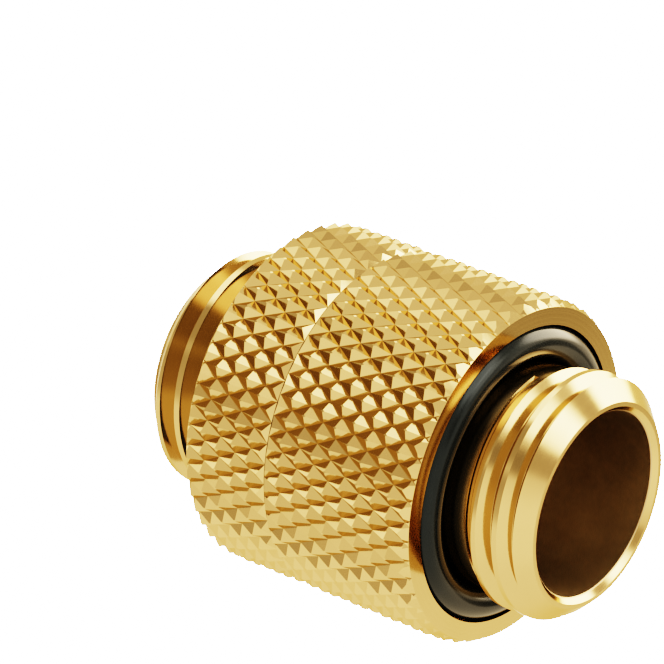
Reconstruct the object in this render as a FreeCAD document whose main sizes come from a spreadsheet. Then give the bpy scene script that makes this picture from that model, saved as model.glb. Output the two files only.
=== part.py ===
"""Rotary G1/4 male-to-male fitting for liquid cooling, in millimetres.

A knurled housing and a knurled collar turn on each other about one axis, and each carries a male thread.
+X is the axis, pointing out of the housing's thread, and +Z is up. The origin is the middle of the
housing's flat shoulder face, the face that seats on the port.
"""
import FreeCAD, Part
import Sketcher
import math
import os
import re

doc = FreeCAD.newDocument("rotary_fitting")

# ---------------------------------------------------------------- driving dimensions
DIMENSIONS = [
    ("thread_radius", 6.5785, "crest radius of both G1/4 threads"),
    ("thread_pitch", 1.337, "19 threads per inch"),
    ("thread_length", 5.2, "shoulder face to thread tip"),
    ("tip_chamfer", 1.03, "45 degree lead on the thread tip"),
    ("neck_radius", 6.1, "plain neck between shoulder and thread"),
    ("front_neck_length", 2.06, "housing's shoulder face to its first crest"),
    ("front_thread_depth", 0.63, "crest to root of the housing's thread"),
    ("front_crest_width", 0.31, "flat on top of the housing's thread"),
    ("front_flank_slope", 0.79, "tangent of the angle its flanks lean at, about 38 degrees"),
    ("front_thread_start", 1.17, "shoulder face to the middle of the groove where it starts"),
    ("rear_neck_length", 1.2, "collar's shoulder face to its first crest"),
    ("rear_thread_depth", 0.785, "crest to root of the collar's thread"),
    ("rear_crest_width", 0.36, "flat on top of the collar's thread"),
    ("rear_flank_slope", 0.5206, "tangent of the angle its flanks lean at, 27.5 degrees"),
    ("rear_thread_start", 1.065, "shoulder face to the middle of the groove where it starts"),
    ("bore_radius", 5.0, "waterway"),
    ("bore_chamfer", 0.3, "break at the mouth of the waterway"),
    ("shoulder_radius", 9.0, "edge of the flat shoulder face"),
    ("face_groove_radius", 8.04, "outer wall of the face seal's groove"),
    ("face_groove_depth", 1.62, "depth of the face seal's groove"),
    ("face_seal_section", 1.9, "thickness of the face seal"),
    ("face_seal_proud", 0.4, "how far the face seal stands out of its face"),
    ("blank_radius", 9.38, "turned radius over the knurl's flat tips"),
    ("valley_radius", 8.99, "crossings of the knurl's grooves"),
    ("peak_radius", 9.43, "where the four faces of a diamond would meet"),
    ("knurl_row", 1.01, "spacing of the knurl's rows along the axis"),
    ("housing_front_cone", 0.6, "length of the cone that thins the housing's knurl at the shoulder"),
    ("housing_seam_cone", 0.3, "the same at the housing's seam edge"),
    ("collar_seam_cone", 0.5, "the same at the collar's seam edge"),
    ("collar_rear_cone", 0.3, "the same at the collar's shoulder"),
    ("housing_length", 9.38, "shoulder face to the seam"),
    ("collar_length", 5.18, "length of the knurled collar"),
    ("seam_gap", 0.03, "running gap between housing and collar"),
    ("socket_radius", 7.5, "hollow in the housing that takes the spigot"),
    ("socket_floor", 2.9, "shoulder face to the bottom of that hollow"),
    ("socket_lead", 0.25, "lead at the mouth of that hollow"),
    ("spigot_radius", 7.44, "collar's spigot, running in the hollow"),
    ("spigot_end", 3.25, "shoulder face to the end of the spigot"),
    ("spigot_lead", 0.3, "chamfer on the end of the spigot"),
    ("seal_groove_radius", 6.2, "bottom of the spigot's seal grooves"),
    ("seal_groove_width", 1.5, "width of the spigot's seal grooves"),
    ("inner_seal_place", 4.5, "shoulder face to the middle of the first spigot seal"),
    ("outer_seal_place", 6.55, "shoulder face to the middle of the second spigot seal"),
    ("spigot_seal_section", 1.24, "thickness of a spigot seal once squeezed"),
    ("spigot_seal_play", 0.01, "gap between a spigot seal and the bottom of its groove"),
    ("ring_place", 8.25, "shoulder face to the middle of the retaining ring"),
    ("ring_wire", 0.8, "thickness of the retaining ring's wire"),
    ("ring_groove_width", 0.92, "width of the two half grooves around the wire"),
    ("ring_groove_depth", 0.46, "depth of each half groove"),
    ("ring_opening", 24, "angle of the gap in the split ring"),
    ("washer_place", 2.925, "shoulder face to the slip washer"),
    ("washer_thickness", 0.3, "thickness of the slip washer"),
    ("washer_inner_radius", 5.4, "hole of the slip washer"),
    ("washer_outer_radius", 7.2, "rim of the slip washer"),
]

# The knurl has this many half steps around, so half as many diamonds.
KNURL_HALF_STEPS = 100
# Angle from +Y to a groove crossing in the row of diamonds at the seam, on each side of it.
HOUSING_KNURL_ANGLE = 4.2
COLLAR_KNURL_ANGLE = 6.9
# Points of the knurl's mesh closer than this are the same point.
MESH_TOLERANCE = 0.001
# Radius of the rough circle an outline's corners start on, before its constraints place them.
ROUGH_RADIUS = 10
# How far the thread's cutter stands out past the crests, so that it cuts cleanly through them.
CUTTER_OVERLAP = 0.1
# A thread takes off more than this, in cubic millimetres.
LEAST_THREAD_CUT = 10
# Where the housing's shoulder face is along the axis, as a formula.
FRONT_FACE = "0"

sheet = doc.addObject("Spreadsheet::Sheet", "dims")
for line, (name, number, note) in enumerate(DIMENSIONS, start=1):
    sheet.set(f"A{line}", name)
    sheet.set(f"B{line}", str(number))
    sheet.set(f"C{line}", note)
    sheet.setAlias(f"B{line}", name)
doc.recompute()


def size(name):
    """Value of one driving dimension."""
    return float(sheet.get(name))


def formula(text):
    """The text as a document expression: every dimension's name is looked up in the sheet."""
    return re.sub(r"[a-z_]{3,}", r"dims.\g<0>", text)


# ---------------------------------------------------------------- turned pieces
def new_sketch(body, name):
    """Sketch on the body's XZ plane: across is X and up is the distance from the axis."""
    plane = [item for item in body.Origin.OriginFeatures if item.Role == "XZ_Plane"][0]
    sketch = body.newObject("Sketcher::SketchObject", name)
    sketch.AttachmentSupport = [(plane, "")]
    sketch.MapMode = "FlatFace"
    return sketch


def hold_corner(sketch, corner, axis, text):
    """Set one coordinate of a corner, "X" or "Y", to a formula."""
    index = sketch.addConstraint(Sketcher.Constraint("Distance" + axis, -1, 1, corner, 1, 1.0))
    sketch.setExpression(f"Constraints[{index}]", formula(text))


def closed_outline(sketch, corners):
    """Straight-sided closed outline; each corner is a pair of formulas, for X and for the radius."""
    count = len(corners)
    seeds = []
    for number in range(count):
        turn = 2 * math.pi * number / count
        seeds.append(FreeCAD.Vector(ROUGH_RADIUS * math.cos(turn), ROUGH_RADIUS * math.sin(turn), 0))
    for number in range(count):
        sketch.addGeometry(Part.LineSegment(seeds[number], seeds[(number + 1) % count]))
    for number in range(count):
        following = (number + 1) % count
        sketch.addConstraint(Sketcher.Constraint("Coincident", number, 2, following, 1))
    for number, (across, radius) in enumerate(corners):
        hold_corner(sketch, number, "X", across)
        hold_corner(sketch, number, "Y", radius)


def turned_body(name, corners):
    """Body made by turning a closed outline about the X axis."""
    body = doc.addObject("PartDesign::Body", name)
    sketch = new_sketch(body, name + "_outline")
    closed_outline(sketch, corners)
    turning = body.newObject("PartDesign::Revolution", name + "_turning")
    turning.Profile = sketch
    turning.ReferenceAxis = (sketch, ["H_Axis"])
    turning.Angle = 360
    doc.recompute()
    return body


def groove(middle, half_width, root, rim):
    """Four corners of a square groove in an outline that runs towards -X."""
    return [
        (f"-({middle}) + {half_width}", rim),
        (f"-({middle}) + {half_width}", root),
        (f"-({middle}) - {half_width}", root),
        (f"-({middle}) - {half_width}", rim),
    ]


# ---------------------------------------------------------------- thread
def cut_thread(body, end, shoulder, outward):
    """Right-handed V groove wound from the neck out past the thread's tip.

    end is "front" or "rear", which thread's dimensions to use; shoulder is the formula of the shoulder
    face's X; and outward is "+" or "-", the way the thread points.
    """
    sketch = new_sketch(body, body.Name + "_groove")
    middle = f"{shoulder} {outward} {end}_thread_start"
    crest_half = f"(thread_pitch - {end}_crest_width) / 2"
    root_half = f"{crest_half} - {end}_thread_depth * {end}_flank_slope"
    rim_half = f"{crest_half} + {CUTTER_OVERLAP} * {end}_flank_slope"
    root = f"thread_radius - {end}_thread_depth"
    rim = f"thread_radius + {CUTTER_OVERLAP}"
    closed_outline(sketch, [
        (f"{middle} - ({root_half})", root),
        (f"{middle} + ({root_half})", root),
        (f"{middle} + ({rim_half})", rim),
        (f"{middle} - ({rim_half})", rim),
    ])
    thread = body.newObject("PartDesign::SubtractiveHelix", body.Name + "_thread")
    thread.Profile = sketch
    thread.ReferenceAxis = (sketch, ["H_Axis"])
    thread.Mode = "pitch-height-angle"
    thread.setExpression("Pitch", formula("thread_pitch"))
    thread.setExpression("Height", formula("thread_length"))
    thread.LeftHanded = False
    thread.Reversed = outward == "-"
    before = body.Shape.Volume
    doc.recompute()
    if not body.Shape.Volume < before - LEAST_THREAD_CUT:
        raise RuntimeError(body.Name + ": the thread cut nothing")


# ---------------------------------------------------------------- knurl
def knurl_cutter(name, towards, length, angle):
    """Ring whose inner wall is the knurl, so that cutting it away leaves the diamonds.

    The surface is a grid of rows along the axis and half steps around. Corners are groove crossings and
    peaks in turn, like the squares of a chessboard, and each grid square is split along its groove.
    Rows are counted from the housing's seam edge, and towards is 1 for +X or -1 for -X.
    """
    seam = -size("housing_length")
    rows = range(-1, math.ceil(length / size("knurl_row")) + 2)
    columns = range(KNURL_HALF_STEPS)
    outside = size("blank_radius") + size("knurl_row")

    def point(row, column, radius):
        turn = math.radians(angle) + 2 * math.pi * column / KNURL_HALF_STEPS
        across = seam + towards * row * size("knurl_row")
        return FreeCAD.Vector(across, radius * math.cos(turn), radius * math.sin(turn))

    points = []
    for row in rows:
        for column in columns:
            is_valley = (row + column) % 2 == 0
            points.append(point(row, column, size("valley_radius" if is_valley else "peak_radius")))
    for row in (rows[0], rows[-1]):
        for column in columns:
            points.append(point(row, column, outside))

    def corner(ring, column):
        return ring * KNURL_HALF_STEPS + column % KNURL_HALF_STEPS

    first_outer = len(rows)
    last_outer = len(rows) + 1
    last_inner = len(rows) - 1
    facets = []
    for ring, row in enumerate(rows[:-1]):
        for column in columns:
            a = corner(ring, column)
            b = corner(ring, column + 1)
            c = corner(ring + 1, column + 1)
            d = corner(ring + 1, column)
            groove_from_a = (row + column) % 2 == 0
            facets += [(a, b, c), (a, c, d)] if groove_from_a else [(a, b, d), (b, c, d)]
    for inner, outer, flip in ((0, first_outer, True), (last_inner, last_outer, False)):
        for column in columns:
            square = [corner(inner, column), corner(inner, column + 1),
                      corner(outer, column + 1), corner(outer, column)]
            if flip:
                square.reverse()
            facets += [(square[0], square[1], square[2]), (square[0], square[2], square[3])]
    for column in columns:
        a = corner(first_outer, column)
        b = corner(first_outer, column + 1)
        c = corner(last_outer, column + 1)
        d = corner(last_outer, column)
        facets += [(c, b, a), (d, c, a)]

    shell = Part.Shape()
    shell.makeShapeFromMesh((points, facets), MESH_TOLERANCE)
    solid = Part.makeSolid(shell)
    if solid.Volume < 0:
        solid.reverse()
    cutter = doc.addObject("Part::Feature", name)
    cutter.Shape = solid
    return cutter


def knurled(name, turned, cutter):
    """The turned body with its diamonds cut."""
    piece = doc.addObject("Part::Cut", name)
    piece.Base = turned
    piece.Tool = cutter
    return piece


# ---------------------------------------------------------------- rings
def ring(name, place, radius, section, opening="0"):
    """Round-section ring about the X axis; a split ring has an opening in degrees."""
    piece = doc.addObject("Part::Torus", name)
    piece.Placement = FreeCAD.Placement(FreeCAD.Vector(), FreeCAD.Rotation(FreeCAD.Vector(0, 1, 0), 90))
    piece.setExpression("Placement.Base.x", formula(place))
    piece.setExpression("Radius1", formula(radius))
    piece.setExpression("Radius2", formula(section) + " / 2")
    piece.setExpression("Angle3", formula(f"360 - {opening}"))
    return piece


# ---------------------------------------------------------------- the fitting
SEAM_FACE = "(housing_length + seam_gap)"
REAR_FACE = "(housing_length + seam_gap + collar_length)"
RING_HALF = "ring_groove_width / 2"
SEAL_HALF = "seal_groove_width / 2"


def make_housing():
    """Long knurled half: male thread, face seal groove, and the socket for the spigot."""
    corners = [
        ("thread_length", "bore_radius + bore_chamfer"),
        ("thread_length", "thread_radius - tip_chamfer"),
        ("thread_length - tip_chamfer", "thread_radius"),
        ("front_neck_length", "thread_radius"),
        ("front_neck_length", "neck_radius"),
        ("-face_groove_depth", "neck_radius"),
        ("-face_groove_depth", "face_groove_radius"),
        (FRONT_FACE, "face_groove_radius"),
        (FRONT_FACE, "shoulder_radius"),
        ("-housing_front_cone", "blank_radius"),
        ("housing_seam_cone - housing_length", "blank_radius"),
        ("-housing_length", "shoulder_radius"),
        ("-housing_length", "socket_radius + socket_lead"),
        ("socket_lead - housing_length", "socket_radius"),
    ]
    corners += reversed(groove("ring_place", RING_HALF, "socket_radius + ring_groove_depth", "socket_radius"))
    corners += [
        ("-socket_floor", "socket_radius"),
        ("-socket_floor", "bore_radius"),
        ("thread_length - bore_chamfer", "bore_radius"),
    ]
    body = turned_body("housing_turned", corners)
    cut_thread(body, "front", FRONT_FACE, "+")
    cutter = knurl_cutter("housing_knurl", 1, size("housing_length"), HOUSING_KNURL_ANGLE)
    return knurled("front_body", body, cutter)


def make_collar():
    """Short knurled half: male thread, face seal groove, and the grooved spigot."""
    corners = [
        ("-spigot_end", "bore_radius"),
        ("-spigot_end", "spigot_radius - spigot_lead"),
        ("-spigot_end - spigot_lead", "spigot_radius"),
    ]
    corners += groove("inner_seal_place", SEAL_HALF, "seal_groove_radius", "spigot_radius")
    corners += groove("outer_seal_place", SEAL_HALF, "seal_groove_radius", "spigot_radius")
    corners += groove("ring_place", RING_HALF, "spigot_radius - ring_groove_depth", "spigot_radius")
    corners += [
        (f"-{SEAM_FACE}", "spigot_radius"),
        (f"-{SEAM_FACE}", "shoulder_radius"),
        (f"-{SEAM_FACE} - collar_seam_cone", "blank_radius"),
        (f"-{REAR_FACE} + collar_rear_cone", "blank_radius"),
        (f"-{REAR_FACE}", "shoulder_radius"),
        (f"-{REAR_FACE}", "face_groove_radius"),
        (f"-{REAR_FACE} + face_groove_depth", "face_groove_radius"),
        (f"-{REAR_FACE} + face_groove_depth", "neck_radius"),
        (f"-{REAR_FACE} - rear_neck_length", "neck_radius"),
        (f"-{REAR_FACE} - rear_neck_length", "thread_radius"),
        (f"-{REAR_FACE} - thread_length + tip_chamfer", "thread_radius"),
        (f"-{REAR_FACE} - thread_length", "thread_radius - tip_chamfer"),
        (f"-{REAR_FACE} - thread_length", "bore_radius + bore_chamfer"),
        (f"-{REAR_FACE} - thread_length + bore_chamfer", "bore_radius"),
    ]
    body = turned_body("collar_turned", corners)
    cut_thread(body, "rear", f"-{REAR_FACE}", "-")
    cutter = knurl_cutter("collar_knurl", -1, size("collar_length"), COLLAR_KNURL_ANGLE)
    return knurled("rear_body", body, cutter)


def make_face_seals():
    """One large seal in the groove of each flat face."""
    radius = "(neck_radius + face_groove_radius) / 2"
    depth = "(face_seal_section / 2 - face_seal_proud)"
    front = ring("front_face_seal", f"-{depth}", radius, "face_seal_section")
    rear = ring("rear_face_seal", f"-{REAR_FACE} + {depth}", radius, "face_seal_section")
    return [front, rear]


def make_spigot_seals():
    """Two small seals side by side in the spigot's grooves."""
    radius = "seal_groove_radius + spigot_seal_section / 2 + spigot_seal_play"
    inner = ring("inner_spigot_seal", "-inner_seal_place", radius, "spigot_seal_section")
    outer = ring("outer_spigot_seal", "-outer_seal_place", radius, "spigot_seal_section")
    return [inner, outer]


def make_retaining_ring():
    """Split wire ring, half in the housing and half in the spigot, that holds the two together."""
    radius = "(socket_radius + spigot_radius) / 2"
    return ring("retaining_ring", "-ring_place", radius, "ring_wire", "ring_opening")


def make_slip_washer():
    """Thin plastic washer between the end of the spigot and the bottom of the socket."""
    return turned_body("slip_washer", [
        ("-washer_place", "washer_inner_radius"),
        ("-washer_place", "washer_outer_radius"),
        ("-washer_place - washer_thickness", "washer_outer_radius"),
        ("-washer_place - washer_thickness", "washer_inner_radius"),
    ])


pieces = [make_housing(), make_collar(), make_retaining_ring(), make_slip_washer()]
pieces += make_face_seals()
pieces += make_spigot_seals()
doc.recompute()

for item in doc.Objects:
    if "Invalid" in item.State or "Error" in item.State:
        raise RuntimeError(f"{item.Name} did not build: {item.State}")
for piece in pieces:
    piece.Label = piece.Name
    if piece.Shape.isNull() or not piece.Shape.isValid() or len(piece.Shape.Solids) != 1:
        raise RuntimeError(f"{piece.Label} is not one valid solid")

os.makedirs("parts", exist_ok=True)
for piece in pieces:
    piece.Shape.exportStep(os.path.join("parts", piece.Label + ".step"))
    print(f"{piece.Label}: {piece.Shape.Volume:.1f} mm3, {len(piece.Shape.Faces)} faces")
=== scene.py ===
"""Looks of the rotary threaded fitting: gold plated knurled halves, rubber seals, studio and camera.

Same frame as the CAD: +X is the swivel axis out of the long half's thread and +Z is up. Units are metres.
"""
import math
from collections import namedtuple

import bpy
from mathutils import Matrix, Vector


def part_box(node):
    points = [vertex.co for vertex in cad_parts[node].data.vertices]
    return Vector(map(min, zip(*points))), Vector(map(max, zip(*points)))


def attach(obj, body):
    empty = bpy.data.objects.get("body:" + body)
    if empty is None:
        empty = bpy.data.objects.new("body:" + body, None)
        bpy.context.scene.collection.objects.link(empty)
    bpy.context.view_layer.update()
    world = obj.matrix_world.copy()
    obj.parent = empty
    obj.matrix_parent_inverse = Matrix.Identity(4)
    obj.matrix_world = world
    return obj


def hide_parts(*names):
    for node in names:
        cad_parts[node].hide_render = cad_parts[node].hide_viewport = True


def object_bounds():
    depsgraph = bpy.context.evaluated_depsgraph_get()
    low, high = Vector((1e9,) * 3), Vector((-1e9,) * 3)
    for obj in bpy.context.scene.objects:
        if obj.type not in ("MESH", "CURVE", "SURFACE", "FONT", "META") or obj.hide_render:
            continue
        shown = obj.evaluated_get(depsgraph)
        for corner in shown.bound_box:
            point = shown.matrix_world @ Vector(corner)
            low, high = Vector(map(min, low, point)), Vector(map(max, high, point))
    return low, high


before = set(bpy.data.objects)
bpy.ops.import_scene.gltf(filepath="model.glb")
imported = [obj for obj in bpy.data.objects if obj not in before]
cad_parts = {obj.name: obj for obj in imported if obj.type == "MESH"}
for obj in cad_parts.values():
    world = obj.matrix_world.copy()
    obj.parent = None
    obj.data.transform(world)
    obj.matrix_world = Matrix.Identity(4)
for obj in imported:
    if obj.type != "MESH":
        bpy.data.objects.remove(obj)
cad_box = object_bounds()

MM = 0.001
scene = bpy.context.scene

# Seals: steps around the ring and around its round section, and the moulding line left on its edges.
RING_STEPS = 240
SECTION_STEPS = 48
MOULD_LINE_HEIGHT = 0.02 * MM
MOULD_LINE_SHARPNESS = 400

# Shading of the gold halves: points closer than this are one point, and edges sharper than this stay crisp.
JOIN_DISTANCE = 0.0001 * MM
CRISP_ANGLE = math.radians(20)

# A finish is two tints and the size of their patches, the least and greatest roughness, and a fine grain
# with its size, its detail and the depth of its relief.
Finish = namedtuple("Finish", "dark light patch smooth rough grain detail relief")
GOLD = Finish(dark=(0.45, 0.345, 0.205), light=(0.47, 0.355, 0.215), patch=3.0 * MM,
              smooth=0.10, rough=0.14, grain=0.06 * MM, detail=3.0, relief=0.00005 * MM)
RUBBER = Finish(dark=(0.008, 0.011, 0.015), light=(0.011, 0.015, 0.021), patch=2.0 * MM,
                smooth=0.13, rough=0.18, grain=0.08 * MM, detail=4.0, relief=0.0002 * MM)
STEEL = Finish(dark=(0.30, 0.31, 0.33), light=(0.42, 0.43, 0.45), patch=1.5 * MM,
               smooth=0.22, rough=0.36, grain=0.03 * MM, detail=3.0, relief=0.001 * MM)
PLASTIC = Finish(dark=(0.80, 0.79, 0.75), light=(0.86, 0.85, 0.81), patch=2.0 * MM,
                 smooth=0.35, rough=0.5, grain=0.05 * MM, detail=3.0, relief=0.001 * MM)
PATCH_DETAIL = 2.0
# Noise gathers around a half, so a finish goes from one end to the other between these two values.
NOISE_LOW = 0.3
NOISE_HIGH = 0.7

# How much of its bright edge a material keeps at glancing angles, for each colour, and the rubber's shine.
GOLD_GLANCING_TINT = (0.66, 0.58, 0.44, 1)
RUBBER_SHINE_TINT = (0.49, 0.66, 1.0, 1)
RUBBER_SHINE = 0.28

# Waterway: its radius, the width of the fade at its wall, the darker tints of the painted shade inside it,
# and its added roughness.
BORE_RADIUS = 5.02 * MM
BORE_SHADE_FADE = 0.06 * MM
BORE_SHADE_DARK = (0.33, 0.27, 0.20)
BORE_SHADE_LIGHT = (0.42, 0.34, 0.25)
BORE_DULLNESS = 0.3

# Camera: its heading from +X and its height over the horizon in degrees, its aim, and how far away it is.
CAMERA_AZIMUTH = -51.22
CAMERA_ELEVATION = 27.63
CAMERA_AIM = Vector((-9.5, -3.3, 6.5)) * MM
CAMERA_DISTANCE = 249.3 * MM
CAMERA_LENS = 262.9
CAMERA_SENSOR = 36
CLIP_START = 0.01
CLIP_END = 10

# Studio: brightness of the plain room above and below, the heights it changes between, and its warm light.
ROOM_ABOVE = 1.45
ROOM_BELOW = 2.0
CHANGE_LOW = -0.1
CHANGE_HIGH = 0.45
ROOM_COLOUR = (1.0, 0.77, 0.46, 1)
# Soft lights of the room: heading from +X, height over the horizon, half width, soft edge, brightness.
SOFT_LIGHTS = [
    (10, 52, 12, 13, 6),
    (20, 27, 7, 11, 5),
    (73, 13, 14, 12, 11),
    (100, 66, 12, 9, 3.0),
    (155, 54, 12, 12, 3.6),
    (-172, 16, 6, 8, 1.5),
    (-55, -10, 20, 30, 0.3),
]
# Grey screens: heading, height, half width and soft edge, and the part of the room's light each keeps out.
GREY_SCREENS = [
    (-149, 45, 11, 13, 0.55),
    (-130, 8, 12, 14, 0.5),
    (-158, -9, 5, 6, 0.6),
    (-90, 80, 4, 6, 0.4),
    (-8, 17, 4, 7, 0.67),
    (-17, 26, 4, 8, 0.45),
    (52, -19, 8, 4, 0.8),
    (52, 42, 8, 6, 0.35),
]

# Floor: its size, the gap under the object, and its white paper, which glows by itself.
FLOOR_SIZE = 4
FLOOR_DROP = 0.02 * MM
FLOOR_COLOUR = (0.9, 0.9, 0.9, 1)
FLOOR_ROUGHNESS = 0.9
GLOW_COLOUR = (1, 1, 1, 1)
FLOOR_GLOW = 24


# ---------------------------------------------------------------- materials
def new_material(name):
    """Node material; returns it with its node tree and its Principled shader."""
    material = bpy.data.materials.new(name)
    material.use_nodes = True
    tree = material.node_tree
    return material, tree, tree.nodes["Principled BSDF"]


def math_node(tree, operation, first, second):
    """Arithmetic node; each input is a socket or a plain number."""
    node = tree.nodes.new("ShaderNodeMath")
    node.operation = operation
    for socket, value in zip(node.inputs, (first, second)):
        if isinstance(value, (int, float)):
            socket.default_value = value
        else:
            tree.links.new(value, socket)
    return node.outputs[0]


def smooth_step(tree, value, start, end, low, high):
    """Goes softly from low to high as the value goes from start to end."""
    node = tree.nodes.new("ShaderNodeMapRange")
    node.interpolation_type = "SMOOTHSTEP"
    node.inputs["From Min"].default_value = start
    node.inputs["From Max"].default_value = end
    node.inputs["To Min"].default_value = low
    node.inputs["To Max"].default_value = high
    tree.links.new(value, node.inputs["Value"])
    return node.outputs["Result"]


def colour_mix(tree, amount):
    """Mix node between two colours, still to be given as A and B."""
    mix = tree.nodes.new("ShaderNodeMix")
    mix.data_type = "RGBA"
    tree.links.new(amount, mix.inputs["Factor"])
    return mix


def turned_position(tree):
    """Position as (along the axis, away from it), in which textures run round like turning marks.

    The distance away from the axis is returned by itself too.
    """
    place = tree.nodes.new("ShaderNodeTexCoord")
    split = tree.nodes.new("ShaderNodeSeparateXYZ")
    across = tree.nodes.new("ShaderNodeCombineXYZ")
    radius = tree.nodes.new("ShaderNodeVectorMath")
    radius.operation = "LENGTH"
    turned = tree.nodes.new("ShaderNodeCombineXYZ")
    tree.links.new(place.outputs["Object"], split.inputs[0])
    tree.links.new(split.outputs["Y"], across.inputs["Y"])
    tree.links.new(split.outputs["Z"], across.inputs["Z"])
    tree.links.new(across.outputs[0], radius.inputs[0])
    tree.links.new(split.outputs["X"], turned.inputs["X"])
    tree.links.new(radius.outputs["Value"], turned.inputs["Y"])
    return turned.outputs[0], radius.outputs["Value"]


def object_position(tree):
    return tree.nodes.new("ShaderNodeTexCoord").outputs["Object"]


def noise(tree, position, grain, detail):
    """Noise whose features are about one grain across, in metres."""
    texture = tree.nodes.new("ShaderNodeTexNoise")
    texture.inputs["Scale"].default_value = 1 / grain
    texture.inputs["Detail"].default_value = detail
    tree.links.new(position, texture.inputs["Vector"])
    return texture.outputs["Fac"]


def vary(tree, amount, low, high, target):
    """Drive a shader value between low and high with a 0 to 1 amount."""
    spread = tree.nodes.new("ShaderNodeMapRange")
    spread.inputs["From Min"].default_value = NOISE_LOW
    spread.inputs["From Max"].default_value = NOISE_HIGH
    spread.inputs["To Min"].default_value = low
    spread.inputs["To Max"].default_value = high
    tree.links.new(amount, spread.inputs["Value"])
    tree.links.new(spread.outputs["Result"], target)


def tint(tree, amount, first, second, target):
    """Drive a shader colour between two colours with a 0 to 1 amount."""
    ramp = tree.nodes.new("ShaderNodeValToRGB")
    start, end = ramp.color_ramp.elements
    start.position = NOISE_LOW
    start.color = (*first, 1)
    end.position = NOISE_HIGH
    end.color = (*second, 1)
    tree.links.new(amount, ramp.inputs["Fac"])
    tree.links.new(ramp.outputs["Color"], target)


def relief(tree, height, depth):
    """Bump of the given depth in metres; returns the normal to use."""
    bump = tree.nodes.new("ShaderNodeBump")
    bump.inputs["Strength"].default_value = 1.0
    bump.inputs["Distance"].default_value = depth
    tree.links.new(height, bump.inputs["Height"])
    return bump.outputs["Normal"]


def colour_patches(tree, finish):
    return noise(tree, object_position(tree), finish.patch, PATCH_DETAIL)


def gold():
    """Gold plating over fine turning marks, a little worn in its polish; painted shade darkens it in the
    bore, which is duller too.
    """
    material, tree, shader = new_material("gold_plate")
    turned, radius = turned_position(tree)
    marks = noise(tree, turned, GOLD.grain, GOLD.detail)
    patches = colour_patches(tree, GOLD)
    shader.inputs["Metallic"].default_value = 1.0
    shader.inputs["Specular Tint"].default_value = GOLD_GLANCING_TINT
    # Painted shade: inside the bore the base colour turns to darker tints, standing in for the shade in the
    # waterway; the roughness is raised there as well.
    bore_shade_and_dullness = smooth_step(tree, radius, BORE_RADIUS, BORE_RADIUS + BORE_SHADE_FADE, 1.0, 0.0)
    plate_and_bore_shade = colour_mix(tree, bore_shade_and_dullness)
    tint(tree, patches, GOLD.dark, GOLD.light, plate_and_bore_shade.inputs["A"])
    tint(tree, patches, BORE_SHADE_DARK, BORE_SHADE_LIGHT, plate_and_bore_shade.inputs["B"])
    tree.links.new(plate_and_bore_shade.outputs["Result"], shader.inputs["Base Color"])
    polish = smooth_step(tree, marks, NOISE_LOW, NOISE_HIGH, GOLD.smooth, GOLD.rough)
    dullness = math_node(tree, "MULTIPLY", bore_shade_and_dullness, BORE_DULLNESS)
    tree.links.new(math_node(tree, "ADD", polish, dullness), shader.inputs["Roughness"])
    tree.links.new(relief(tree, marks, GOLD.relief), shader.inputs["Normal"])
    return material


def plain_finish(tree, shader, finish, position):
    """Give a shader one finish all over, with its grain laid out by the given position."""
    grain = noise(tree, position, finish.grain, finish.detail)
    tint(tree, colour_patches(tree, finish), finish.dark, finish.light, shader.inputs["Base Color"])
    vary(tree, grain, finish.smooth, finish.rough, shader.inputs["Roughness"])
    tree.links.new(relief(tree, grain, finish.relief), shader.inputs["Normal"])


def rubber():
    """Black rubber with the faint grain of its mould and a cool shine."""
    material, tree, shader = new_material("black_rubber")
    plain_finish(tree, shader, RUBBER, object_position(tree))
    shader.inputs["Specular IOR Level"].default_value = RUBBER_SHINE
    shader.inputs["Specular Tint"].default_value = RUBBER_SHINE_TINT
    return material


def spring_steel():
    """Drawn steel wire: fine lines and a blue-grey sheen."""
    material, tree, shader = new_material("spring_steel")
    plain_finish(tree, shader, STEEL, turned_position(tree)[0])
    shader.inputs["Metallic"].default_value = 1.0
    return material


def white_plastic():
    """Low-friction plastic: waxy white with skiving lines."""
    material, tree, shader = new_material("white_plastic")
    plain_finish(tree, shader, PLASTIC, turned_position(tree)[0])
    return material


def put_material(piece, material):
    piece.data.materials.clear()
    piece.data.materials.append(material)


# ---------------------------------------------------------------- smooth shading
def smooth_rounds():
    """Node group that shades round faces as one, without a line where they join, and keeps real edges crisp.

    It changes the shading only: the points it joins are in the same place already.
    """
    group = bpy.data.node_groups.new("smooth_rounds", "GeometryNodeTree")
    group.interface.new_socket("Geometry", in_out="INPUT", socket_type="NodeSocketGeometry")
    group.interface.new_socket("Geometry", in_out="OUTPUT", socket_type="NodeSocketGeometry")
    start = group.nodes.new("NodeGroupInput")
    end = group.nodes.new("NodeGroupOutput")
    joined = group.nodes.new("GeometryNodeMergeByDistance")
    joined.inputs["Distance"].default_value = JOIN_DISTANCE
    plain = group.nodes.new("GeometryNodeRemoveAttribute")
    plain.inputs["Name"].default_value = "custom_normal"
    angle = group.nodes.new("GeometryNodeInputMeshEdgeAngle")
    is_edge = group.nodes.new("FunctionNodeCompare")
    is_edge.operation = "GREATER_THAN"
    is_edge.inputs["B"].default_value = CRISP_ANGLE
    crisp = group.nodes.new("GeometryNodeSetShadeSmooth")
    crisp.domain = "EDGE"
    crisp.inputs["Shade Smooth"].default_value = False
    group.links.new(start.outputs[0], joined.inputs["Geometry"])
    group.links.new(joined.outputs[0], plain.inputs["Geometry"])
    group.links.new(plain.outputs[0], crisp.inputs["Geometry"])
    group.links.new(angle.outputs["Unsigned Angle"], is_edge.inputs["A"])
    group.links.new(is_edge.outputs[0], crisp.inputs["Selection"])
    group.links.new(crisp.outputs[0], end.inputs[0])
    return group


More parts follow.
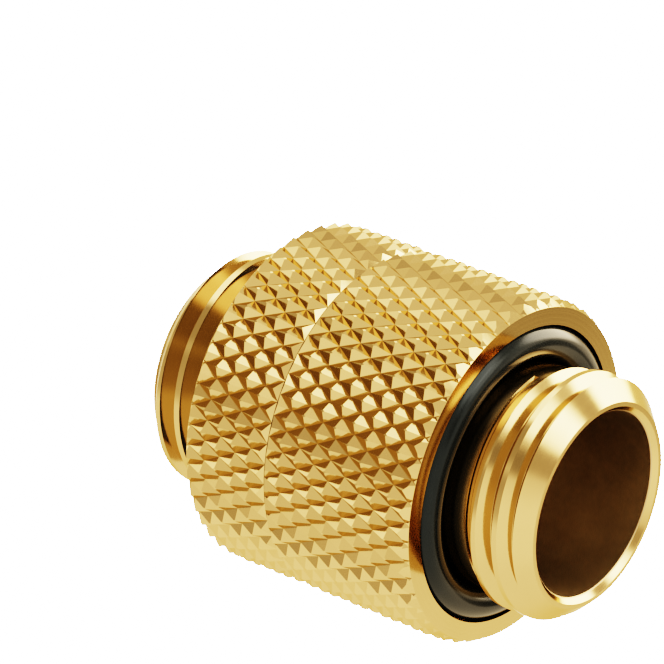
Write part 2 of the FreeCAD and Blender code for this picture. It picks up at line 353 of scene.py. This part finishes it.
# ---------------------------------------------------------------- seals
def seal_outline(section_radius):
    """Round section as (along the axis, away from it) pairs, with a moulding line inside and outside."""
    plain_radius = section_radius - MOULD_LINE_HEIGHT
    outline = []
    for step in range(SECTION_STEPS):
        turn = 2 * math.pi * step / SECTION_STEPS
        line = MOULD_LINE_HEIGHT * math.exp(-MOULD_LINE_SHARPNESS * math.cos(turn) ** 2)
        reach = plain_radius + line
        outline.append((reach * math.cos(turn), reach * math.sin(turn)))
    return outline


def turned_mesh(name, middle, ring_radius, outline):
    """Closed ring about the X axis with the given outline as its section."""
    points = []
    faces = []
    for step in range(RING_STEPS):
        turn = 2 * math.pi * step / RING_STEPS
        for along, away in outline:
            radius = ring_radius + away
            points.append((middle + along, radius * math.cos(turn), radius * math.sin(turn)))
    count = len(outline)
    for step in range(RING_STEPS):
        this_ring = step * count
        next_ring = (step + 1) % RING_STEPS * count
        for corner in range(count):
            following = (corner + 1) % count
            faces.append((this_ring + corner, this_ring + following,
                          next_ring + following, next_ring + corner))
    mesh = bpy.data.meshes.new(name)
    mesh.from_pydata(points, [], faces)
    mesh.shade_smooth()
    piece = bpy.data.objects.new(name, mesh)
    scene.collection.objects.link(piece)
    return piece


def add_seal(node, body, material):
    """Moulded rubber ring in the place of one CAD seal."""
    low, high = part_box(node)
    section_radius = (high.x - low.x) / 2
    ring_radius = (high.z - low.z) / 2 - section_radius
    seal = turned_mesh(node + "_moulded", (low.x + high.x) / 2, ring_radius, seal_outline(section_radius))
    put_material(seal, material)
    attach(seal, body)
    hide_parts(node)


# ---------------------------------------------------------------- studio
def heading(azimuth, elevation):
    """Unit vector towards a heading from +X and a height over the horizon, in degrees."""
    turn, lift = math.radians(azimuth), math.radians(elevation)
    return Vector((math.cos(turn) * math.cos(lift), math.sin(turn) * math.cos(lift), math.sin(lift)))


def round_patch(tree, direction, azimuth, elevation, half_width, soft_edge, level):
    """The level inside a round patch of the room, falling to zero over its soft edge."""
    towards = tree.nodes.new("ShaderNodeVectorMath")
    towards.operation = "DOT_PRODUCT"
    towards.inputs[1].default_value = heading(azimuth, elevation)
    tree.links.new(direction, towards.inputs[0])
    rim = math.cos(math.radians(half_width + soft_edge))
    core = math.cos(math.radians(half_width))
    return smooth_step(tree, towards.outputs["Value"], rim, core, 0.0, level)


def add_room():
    """Plain warm room with soft lights, and grey screens that darken parts of it."""
    world = bpy.data.worlds.new("room")
    world.use_nodes = True
    tree = world.node_tree
    direction = tree.nodes.new("ShaderNodeTexCoord").outputs["Generated"]
    split = tree.nodes.new("ShaderNodeSeparateXYZ")
    tree.links.new(direction, split.inputs[0])
    light = smooth_step(tree, split.outputs["Z"], CHANGE_LOW, CHANGE_HIGH, ROOM_BELOW, ROOM_ABOVE)
    for screen in GREY_SCREENS:
        passed = math_node(tree, "SUBTRACT", 1.0, round_patch(tree, direction, *screen))
        light = math_node(tree, "MULTIPLY", light, passed)
    for soft_light in SOFT_LIGHTS:
        light = math_node(tree, "ADD", light, round_patch(tree, direction, *soft_light))
    tree.links.new(light, tree.nodes["Background"].inputs["Strength"])
    tree.nodes["Background"].inputs["Color"].default_value = ROOM_COLOUR
    scene.world = world


def add_floor():
    """Plain white paper floor, lit evenly from within; it leaves the object's reflections to the room."""
    bpy.ops.mesh.primitive_plane_add(size=FLOOR_SIZE, location=(0, 0, cad_box[0].z - FLOOR_DROP))
    floor = bpy.context.object
    floor.name = "floor"
    material, tree, shader = new_material("floor_paper")
    shader.inputs["Base Color"].default_value = FLOOR_COLOUR
    shader.inputs["Roughness"].default_value = FLOOR_ROUGHNESS
    shader.inputs["Emission Color"].default_value = GLOW_COLOUR
    shader.inputs["Emission Strength"].default_value = FLOOR_GLOW
    put_material(floor, material)
    floor.visible_glossy = False
    floor.visible_diffuse = False


def add_camera():
    camera = bpy.data.objects.new("camera", bpy.data.cameras.new("camera"))
    scene.collection.objects.link(camera)
    back = heading(CAMERA_AZIMUTH, CAMERA_ELEVATION)
    camera.location = CAMERA_AIM + back * CAMERA_DISTANCE
    camera.rotation_mode = "QUATERNION"
    camera.rotation_quaternion = (-back).to_track_quat("-Z", "Y")
    camera.data.lens = CAMERA_LENS
    camera.data.sensor_width = CAMERA_SENSOR
    camera.data.clip_start = CLIP_START
    camera.data.clip_end = CLIP_END
    scene.camera = camera


# ---------------------------------------------------------------- the fitting
gold_plate = gold()
black_rubber = rubber()
rounds = smooth_rounds()
for body in ("front_body", "rear_body"):
    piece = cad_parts[body]
    put_material(piece, gold_plate)
    piece.modifiers.new("smooth_rounds", "NODES").node_group = rounds
put_material(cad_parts["retaining_ring"], spring_steel())
put_material(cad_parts["slip_washer"], white_plastic())

add_seal("front_face_seal", "front_half", black_rubber)
add_seal("rear_face_seal", "rear_half", black_rubber)
add_seal("inner_spigot_seal", "rear_half", black_rubber)
add_seal("outer_spigot_seal", "rear_half", black_rubber)

add_camera()
add_room()
add_floor()
scene.view_settings.view_transform = "Filmic"
scene.view_settings.look = "Very High Contrast"
